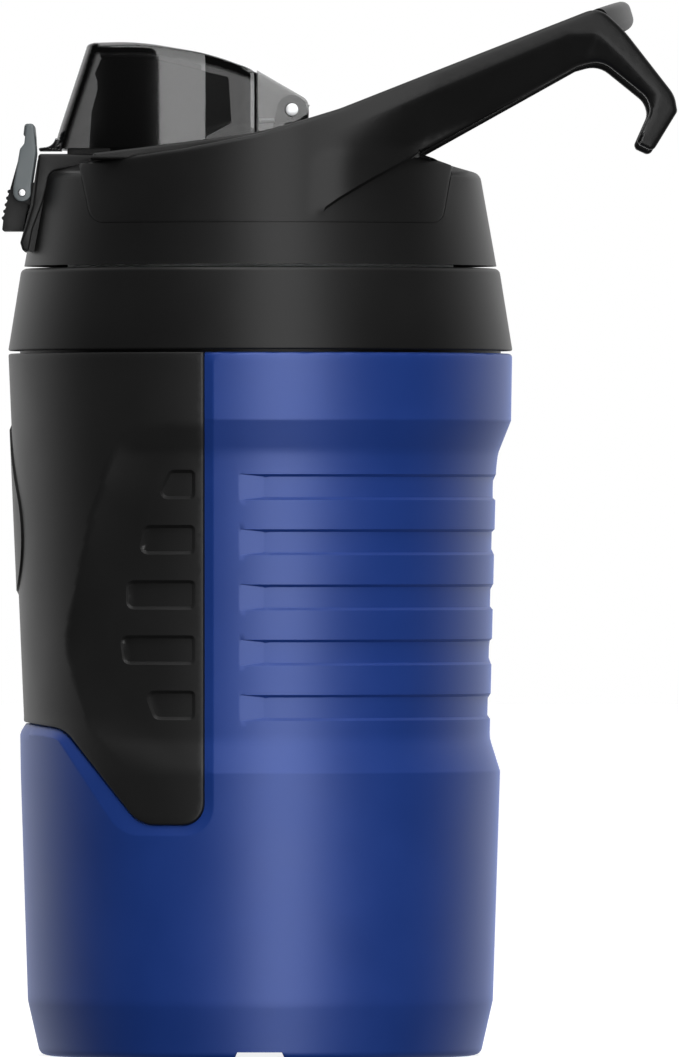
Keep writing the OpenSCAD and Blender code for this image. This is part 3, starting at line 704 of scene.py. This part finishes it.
def handle_surfaces(points):
    """Outer and inner distance from the jug's middle plane at side-view points (x, z)."""
    x, z = points[:, 0], points[:, 1]
    cone_r = LID_R - LID_TAPER * (z - LID_Z)
    cone = np.sqrt(np.maximum(cone_r ** 2 - x ** 2, 1))
    reach = cone_r + (ARM_R - cone_r) * smooth_step(x, ARM_X, 50)
    arm = np.where(x < ARM_X, cone, (reach - x * math.sin(ARM_TURN)) / math.cos(ARM_TURN))
    above = distance(points, ARM_LOW) / 0.7
    line_z = np.interp(x, ARM_LOW[:, 0], ARM_LOW[:, 1])
    lift = np.where((x < 4) | (x > 60) | (z > 253), 1, np.where(z > line_z, np.clip(above, 0, 1), 0))
    under = inside(points, [UNDER]) * distance(points, UNDER_LINE)
    under = np.clip(under * UNDER_SLOPE, 0, UNDER_MOST) * smooth_step(x, 20, 46)
    least = cone + 1.8 * smooth_step(x, 13, 27) - 9 * smooth_step(z, 250, 266) - 9 * smooth_step(x, 42, 56)
    over = arm - under - least
    swell = np.maximum(SOFTEN - np.abs(over), 0) ** 2 / (4 * SOFTEN)
    outer = cone + (least + np.maximum(over, 0) + swell * smooth_step(x, 14, 30) - cone) * lift
    grown = smooth_step(z, PLATE_TOP - 2.5, PLATE_TOP)
    thick = PLATE_T + 3.6 * grown
    thick = thick + (ARM_T - 5) * smooth_step(x, 5, 30) * grown
    inner = np.where((x > PLATE_X) | (z > PLATE_TOP), arm - thick, np.minimum(outer, arm) - thick)
    edge = np.where((z < PLATE_TOP - 0.8) & (x < PLATE_X), PLATE_EDGE, ARM_EDGE)
    loop = np.vstack([HANDLE, HANDLE[:1]])
    near = np.minimum(distance(points, loop), edge)
    near = np.where(near < 0.001, 0, near)
    fall = edge - np.sqrt(np.maximum(edge ** 2 - (edge - near) ** 2, 0))
    return outer - fall, inner + fall


def handle():
    step = 1.3
    build = Build()
    loop = resampled(HANDLE, step, closed=True)
    closed = np.vstack([loop, loop[:1]])
    turn = 1 if sum(a[0] * b[1] - b[0] * a[1] for a, b in zip(closed, closed[1:])) > 0 else -1
    lines = []
    for aside in (0.12, 0.4, 0.8, 1.3):
        moved = shifted(closed, turn * aside)
        run = []
        for point, good in zip([*moved, None], [*(distance(moved, closed) > aside * 0.85), False]):
            if good:
                run.append(point)
                continue
            if len(run) > 1:
                lines.append(np.array(run))
            run = []
    low = resampled(ARM_LOW[1:-1], 1.0)
    low = low[inside(low, [loop])]
    lines += [low, shifted(low, 0.7)]
    for aside in (-0.3, 0.3):
        band = shifted(resampled(UNDER_LINE, step), aside)
        lines.append(band[(band[:, 0] < 106) | (band[:, 1] > 271)])
    flat, faces = patch([loop], lines, step)
    outer, inner = handle_surfaces(flat)
    build.fill([(x, -y, z) for (x, z), y in zip(flat, outer)], faces)
    build.fill([(x, -y, z) for (x, z), y in zip(flat, inner)], faces)
    outer, inner = handle_surfaces(loop)
    build.rows([[(x, -y, z) for (x, z), y in zip(loop, outer)],
                [(x, -y, z) for (x, z), y in zip(loop, inner)]], closed=True)
    deck = rounded([(-47, 250), (-46, 251.7, 0.8), (-22, 254.6, 40), (-2, 257.3, 30), (13, 261, 3),
                    (24, 250)], 6)
    build.prism(deck, -48, -25.2, 0.8, 2.5)
    build.mirror()
    crossbar(build)
    build.piece("handle_skin", MATERIALS["black"], "lid", "black_plastic", ["handle"], 30)


def crossbar(build):
    """A bar that lies in the plane of the arms and bows away from the lid."""
    half_chord, bow, depth, thick = 38.0, 7.5, 19.0, 8.0
    tip_x, tip_z = 102.75, 295.65
    bow_r = (half_chord ** 2 + bow ** 2) / (2 * bow)
    reach, slope = math.asin(half_chord / bow_r), math.radians(21.6)
    section = rounded([(bow_r - depth, -thick, 3), (bow_r - 0.6, -thick, 3), (bow_r, 0, 2.4),
                       (bow_r - depth, -0.15, 2)], 6)
    rows = []
    for a in np.linspace(-reach, reach, 49):
        row = []
        for r, up in section:
            out = r * math.cos(a) - bow_r
            row.append((tip_x + out * math.cos(slope) - up * math.sin(slope), r * math.sin(a),
                        tip_z + out * math.sin(slope) + up * math.cos(slope)))
        rows.append(row)
    numbers = build.rows(rows, closed=True)
    build.faces += [tuple(numbers[0]), tuple(reversed(numbers[-1]))]


# ---- flip cap -------------------------------------------------------------

CAP_ROOF = rounded([(-70, 281.9), (-35.5, 283.9, 70), (-15, 280.3, 60), (-0.2, 274.9, 40),
                    (11.5, 269)], 8)[1:]
CAP_FRONT = rounded([(-57.9, 253.0), (-56.4, 258.5, 12), (-48.3, 283), (-48, 284)], 8)
CAP_LOW, CAP_TOP, CAP_WALL, CAP_BACK = 253.4, 282.9, 2.5, -0.4
EAR, EAR_MIDDLE, EAR_FLARE = (15.5, 18.95), 6.5, 0.025
CAP_EDGE = ((-54, 253.3), (-28, 254.4), (-15.3, 256), (0, 257.6))
# The sides bow in before BOW_X, run straight to NARROW_X and then close in to the ears.
CAP_HALF, CAP_BOW_R, BOW_X, NARROW_X = 23.5, 60, -27, -15.3


def cap_ring(z_share, inset, corner):
    """Points of half the cap's wall, from the middle of the front round to the middle of the back."""
    r, half_w, bend = CAP_BOW_R - inset, CAP_HALF - inset, 1.9 * corner
    back = CAP_BACK - (1.2 if inset else 0)

    def side_y(x):
        """Half the cap's width."""
        if x < BOW_X:
            return half_w - r * (1 - math.cos(math.asin(min(1, (BOW_X - x) / r))))
        return float(np.interp(x, [NARROW_X, -1], [half_w, 19 - inset]))

    def top_at(x, y):
        """Height of the roof, which is a little lower at its edges."""
        crown = 1.2 * min(1, max(0, (-7 - x) / 35)) * (y / max(side_y(x), 1)) ** 2
        return float(np.interp(x, CAP_ROOF[:, 0], CAP_ROOF[:, 1])) - inset - crown

    def low_at(x):
        return float(np.interp(x, *zip(*CAP_EDGE)))

    def front_x(z, y, wide):
        return float(np.interp(z, CAP_FRONT[:, 1], CAP_FRONT[:, 0])) + inset + 1.2 * (y / wide) ** 2

    points = []
    top = CAP_TOP - inset - corner
    z = CAP_LOW + z_share * (top - CAP_LOW)
    wide = side_y(front_x(z, 0, 1))
    for y in np.linspace(0, wide - bend, 9):
        points.append((front_x(z, y, wide), y, z))
    start = points[-1]
    x_side = front_x(z, wide, wide) + bend
    corner_point = (front_x(z, wide, wide), side_y(front_x(z, wide, wide)))
    for t in np.linspace(0, 1, 9)[1:-1]:
        x = (1 - t) ** 2 * start[0] + 2 * t * (1 - t) * corner_point[0] + t * t * x_side
        y = (1 - t) ** 2 * start[1] + 2 * t * (1 - t) * corner_point[1] + t * t * side_y(x_side)
        points.append((x, y, z))
    for a, b, count in ((x_side, BOW_X, 12), (BOW_X, NARROW_X, 5), (NARROW_X, back - bend, 6)):
        for x in np.linspace(a, b, count)[:-1]:
            y = side_y(x)
            points.append((x, y, low_at(x) + z_share * (top_at(x, y) - corner - low_at(x))))
    y = side_y(back)
    for t in np.linspace(0, 1, 5):
        x = back - bend * (1 - t) ** 2
        yy = y - bend * t ** 2
        points.append((x, yy, low_at(back) + z_share * (top_at(back, y) - corner - low_at(back))))
    for yy in np.linspace(y - bend, 0, 7)[1:]:
        points.append((back, yy, low_at(back) + z_share * (top_at(back, y) - corner - low_at(back))))
    return points, top_at


def cap_shell(build, inset, corner):
    """Wall and roof of half the cap, moved in by inset; returns the numbers of its lower rim."""
    rows = []
    for share in np.linspace(0, 1, 13):
        ring, top_at = cap_ring(share, inset, corner)
        rows.append(ring)
    last = np.array(rows[-1])
    flat_rows = []
    for k in (1, 2, 3, 4):
        a = math.radians(22.5 * k)
        row = []
        line = last[:, :2]
        wrap = np.vstack([line[:1] * (1, -1) + (0, -0.5), line, line[-1:] + (0, -0.5)])
        moved = shifted(wrap, -corner * (1 - math.cos(a)))[1:-1]
        moved[0, 1] = moved[-1, 1] = 0
        for (x, y), (_, _, z) in zip(moved, last):
            row.append((x, max(y, 0), z + corner * math.sin(a)))
        flat_rows.append(row)
    numbers = build.rows(rows + flat_rows)
    edge = np.array(flat_rows[-1])
    middle = np.array([(x, 0) for x in np.arange(edge[-1][0] - 2, edge[0][0] + 1, -2)])
    flat, faces = patch([np.vstack([edge[:, :2], middle])], [], 2.0)
    points = []
    for x, y in flat:
        apart = np.hypot(edge[:, 0] - x, edge[:, 1] - y)
        points.append(tuple(edge[apart.argmin()]) if apart.min() < 0.001 else (x, y, top_at(x, y)))
    build.fill(points, faces)
    return numbers[0]


def flip_cap():
    build = Build()
    outer = cap_shell(build, 0, 1.2)
    inner = cap_shell(build, CAP_WALL, 0.3)
    build.strip(outer, inner)
    build.mirror()
    ear = rounded([(-0.9, 258.2), (13.9, 257.9, 5.6), (13.4, 267, 3), (-0.9, 275.3)], 8)
    for side in (-1, 1):
        begin = len(build.verts)
        build.prism(ear, *sorted(side * y for y in EAR), 0.4, 2.5)
        build.verts[begin:] = [(x, y + side * (x - EAR_MIDDLE) * EAR_FLARE, z)
                               for x, y, z in build.verts[begin:]]
    tongue = rounded([(-55.6, 253), (-61.8, 253, 0.3), (-62, 253.8, 0.3), (-58.3, 254.3, 3), (-57.2, 256.6),
                      (-55.6, 256)], 5)
    build.prism(tongue, -9, 9, 0.3, 2.5)
    build.piece("flip_cap_skin", MATERIALS["smoke"], "cap", "smoke_clear", ["flip_cap"], 14)


# ---- latch ----------------------------------------------------------------

BUTTON_HALF = 10.5
BAIL_ARM = (13.5, 15.9)
CHEEK = (10.9, 17.4)
CAP_PIN, LATCH_PIN = (8.85, 264.3), (-66.5, 241.2)


def latch_button():
    build = Build()
    ribs = []
    for i in range(5):
        x, z = -71.85 + 0.4 * i, 233.6 + 1.85 * i
        ribs += [(x, z), (x - 0.4, z + 0.35), (x - 0.4, z + 0.85), (x + 0.1, z + 1.2)]
    outline = np.vstack([
        rounded([(-64.2, 239), (-65.4, 234.6), (-66.2, 230.6, 0.4), (-72.2, 230.6, 0.5),
                 (-71.9, 233)], 4)[:-1],
        ribs,
        rounded([(-70, 242), (-67, 252.8, 0.8), (-65.6, 255.9, 0.5), (-62.7, 255.9, 0.4),
                 (-62.7, 254.6, 0.3), (-65, 254.2, 0.6), (-64.2, 243.5), (-64.2, 239)], 4)[:-1]])
    build.prism(outline, -BUTTON_HALF, BUTTON_HALF, 0.2, 2.0)
    build.piece("latch_button_skin", MATERIALS["black"], "button", "black_plastic", ["latch_button"])


def lock_bail():
    build = Build()
    arm = rounded([(-69, 238.7, 2.4), (-64, 238.7, 2.4), (-64, 243), (-62.6, 252.4, 3), (-62.9, 257.3, 3),
                   (-63.2, 260.5, 1), (-65.3, 260.5, 1), (-65.9, 254.9, 1), (-67.1, 253.4, 1),
                   (-68.9, 243)], 6)
    for side in (-1, 1):
        build.prism(arm, *sorted(side * y for y in BAIL_ARM), 0.35, 2.0)
    bar = rounded([(-63.1, 257, 0.6), (-63.1, 260.5, 0.9), (-65.8, 260.5, 0.9), (-66.2, 257, 0.6)], 6)
    build.prism(bar, -14, 14, 0.2, 2.0)
    build.piece("lock_bail_skin", MATERIALS["bail"], "bail", "bail_grey", ["lock_bail"])


def latch_frame():
    """The two cheeks that carry the latch, and the front edge of the deck over them."""
    build = Build()
    cheek = rounded([(-46, 252), (-61.9, 252, 0.9), (-62.4, 247), (-63.5, 238), (-65.6, 231),
                     (-67, 227.2, 0.8), (-66.3, 224.8, 0.8), (-64.6, 225), (-63.4, 231, 4),
                     (-60.6, 238.5, 6), (-59.4, 243), (-58.7, 246.9, 2.5), (-46, 249)], 6)
    for side in (-1, 1):
        build.prism(cheek, *sorted(side * y for y in CHEEK), 0.7, 2.0)
    deck = rounded([(-40, 253.7), (-53.9, 253.7, 0.5), (-53.9, 252), (-60.8, 252, 0.7), (-60.8, 248),
                    (-40, 248)], 5)
    build.prism(deck, -14, 14, 0.4, 2.0)
    build.piece("latch_frame_skin", MATERIALS["black"], "lid", "black_plastic")


def disc(build, at, radius, low, high):
    """A flat round disc across y, at (x, z)."""
    turns = np.linspace(0, 2 * math.pi, 32, endpoint=False)
    circle = [(at[0] + radius * math.cos(a), at[1] + radius * math.sin(a)) for a in turns]
    build.prism(circle, low, high, 0.05, 1.0, 2)


def pin_ends():
    """The polished ends of the two pins, each in a thin dark ring of painted shade that stands for the
    shade in the gap round the pin.
    """
    steel_ends, gap_shade_rings = Build(), Build()
    for side in (-1, 1):
        for at, radius, face in ((CAP_PIN, 1.75, 19.1), (LATCH_PIN, 0.9, 16.1)):
            disc(steel_ends, at, radius, *sorted((side * (face - 0.5), side * face)))
            # painted shade: a dark disc a little wider than the pin end, drawn as the shade in the gap
            # round the pin
            disc(gap_shade_rings, at, radius + 0.25, *sorted((side * (face - 0.5), side * (face - 0.07))))
    steel_ends.piece("pin_ends", MATERIALS["steel"], "lid", "steel")
    gap_shade_rings.piece("pin_gap_shade_rings", MATERIALS["seal"], "lid", "seal_black")


# ---- stage ----------------------------------------------------------------

CAMERA_AWAY_M = 6.0
VIEW_X, VIEW_Z, VIEW_HEIGHT = 22.15, 147.4, 295.96
FLOOR_HALF_M = 12


def camera():
    data = bpy.data.cameras.new("camera")
    data.sensor_width = 36
    data.lens = data.sensor_width * CAMERA_AWAY_M / (VIEW_HEIGHT * MM)
    data.clip_end = 100
    cam = bpy.data.objects.new("camera", data)
    cam.location = (VIEW_X * MM, -CAMERA_AWAY_M, VIEW_Z * MM)
    cam.rotation_euler = (math.radians(90), 0, 0)
    bpy.context.scene.collection.objects.link(cam)
    bpy.context.scene.camera = cam


def area_light(name, azimuth, elevation, away, size, power, target=(0, 0, 0.15)):
    """A soft box that faces the target; lengths in metres."""
    az, el = math.radians(azimuth), math.radians(elevation)
    data = bpy.data.lights.new(name, "AREA")
    data.shape = "RECTANGLE"
    data.size, data.size_y = size
    data.energy = power
    obj = bpy.data.objects.new(name, data)
    obj.location = Vector(target) + away * Vector(
        (math.sin(az) * math.cos(el), -math.cos(az) * math.cos(el), math.sin(el)))
    obj.rotation_euler = (Vector(target) - obj.location).to_track_quat("-Z", "Y").to_euler()
    bpy.context.scene.collection.objects.link(obj)


def world():
    """White where the camera sees it; for the light on the object, bright behind and dim in front."""
    sky = bpy.data.worlds.new("world")
    bpy.context.scene.world = sky
    sky.use_nodes = True
    light = sky.node_tree.nodes["Background"]
    light.inputs["Color"].default_value = (1, 1, 1, 1)
    white = node(sky, "ShaderNodeBackground", Color=(1, 1, 1, 1), Strength=1.0)
    split = node(sky, "ShaderNodeSeparateXYZ")
    product = node(sky, "ShaderNodeMath", operation="MULTIPLY")
    seen = node(sky, "ShaderNodeMixShader")
    link(sky, node(sky, "ShaderNodeTexCoord").outputs["Generated"], split.inputs["Vector"])
    for i, (axis, limits) in enumerate((("Y", (0.0, 0.65, 0.02, 1.1)), ("Z", (-0.45, 0.0, 0.25, 1.0)))):
        ramp = map_range(sky, limits)
        link(sky, split.outputs[axis], ramp.inputs["Value"])
        link(sky, ramp.outputs["Result"], product.inputs[i])
    link(sky, product.outputs[0], light.inputs["Strength"])
    link(sky, node(sky, "ShaderNodeLightPath").outputs["Is Camera Ray"], seen.inputs["Fac"])
    link(sky, light.outputs[0], seen.inputs[1])
    link(sky, white.outputs[0], seen.inputs[2])
    link(sky, seen.outputs[0], sky.node_tree.nodes["World Output"].inputs["Surface"])


def floor_material():
    """Pale to the camera, with a weak trace of the object's shade, and clear when seen from below."""
    mat = new_material("floor", (0.3, 0.3, 0.3), 0.9)
    glow = node(mat, "ShaderNodeEmission", Strength=0.85)
    both = node(mat, "ShaderNodeAddShader")
    link(mat, mat.node_tree.nodes["Principled BSDF"].outputs[0], both.inputs[0])
    link(mat, glow.outputs[0], both.inputs[1])
    one_side = node(mat, "ShaderNodeMixShader")
    link(mat, node(mat, "ShaderNodeNewGeometry").outputs["Backfacing"], one_side.inputs[0])
    link(mat, both.outputs[0], one_side.inputs[1])
    link(mat, node(mat, "ShaderNodeBsdfTransparent").outputs[0], one_side.inputs[2])
    link(mat, one_side.outputs[0], mat.node_tree.nodes["Material Output"].inputs["Surface"])
    return mat


def stage():
    bpy.context.scene.view_settings.view_transform = "Standard"
    world()
    mesh = bpy.data.meshes.new("floor")
    half = FLOOR_HALF_M
    mesh.from_pydata([(-half, -half, 0), (half, -half, 0), (half, half, 0), (-half, half, 0)], [],
                     [(0, 1, 2, 3)])
    floor = bpy.data.objects.new("floor", mesh)
    floor.visible_diffuse = floor.visible_glossy = floor.visible_shadow = False
    bpy.context.scene.collection.objects.link(floor)
    mesh.materials.append(floor_material())
    area_light("key", 11, 12, 1.6, (0.86, 3.4), 40)
    area_light("top", 0, 75, 1.8, (1.4, 1.4), 24)


# ---- the scene ------------------------------------------------------------

MATERIALS = {
    "blue": blue_plastic(),
    "black": black_plastic(),
    "grip": black_plastic("grip_black", 0.44, 0.48, 0.0075, 0.42),
    "smoke": smoke_plastic(),
    "steel": steel(),
    "spout": plain_plastic("spout_black", (0.007, 0.007, 0.0072), (0.009, 0.009, 0.0092), 0.35),
    "bail": plain_plastic("bail_grey", (0.075, 0.088, 0.093), (0.085, 0.099, 0.104), 0.45),
    "liner": plain_plastic("liner_white", (0.72, 0.73, 0.74), (0.78, 0.79, 0.79), 0.4),
    "foam": plain_plastic("foam", (0.72, 0.66, 0.45), (0.84, 0.79, 0.6), 0.85),
    "silicone": plain_plastic("silicone", (0.5, 0.51, 0.53), (0.57, 0.58, 0.6), 0.5),
    "seal": plain_plastic("seal_black", (0.012, 0.012, 0.013), (0.02, 0.02, 0.021), 0.6),
}
# CAD nodes that are seen as they are, and their materials.
CARRIED = {
    "foam_core": "foam", "foam_plug": "blue", "inner_liner": "liner", "lid_gasket": "silicone",
    "lid_cover": "black", "lid_liner": "black", "spout": "spout", "spout_seal": "silicone",
    "vent_valve": "silicone", "hinge_pin": "steel", "hinge_spring": "steel", "latch_pin": "steel",
    "button_spring": "steel", "cap_seal": "seal",
}

camera()
stage()
outer_shell()
grip_panel()
collar_ring()
handle()
flip_cap()
latch_button()
lock_bail()
latch_frame()
pin_ends()
for carried_name, material_name in CARRIED.items():
    mesh_data = frame["nodes"][carried_name].data
    mesh_data.materials.clear()
    mesh_data.materials.append(MATERIALS[material_name])
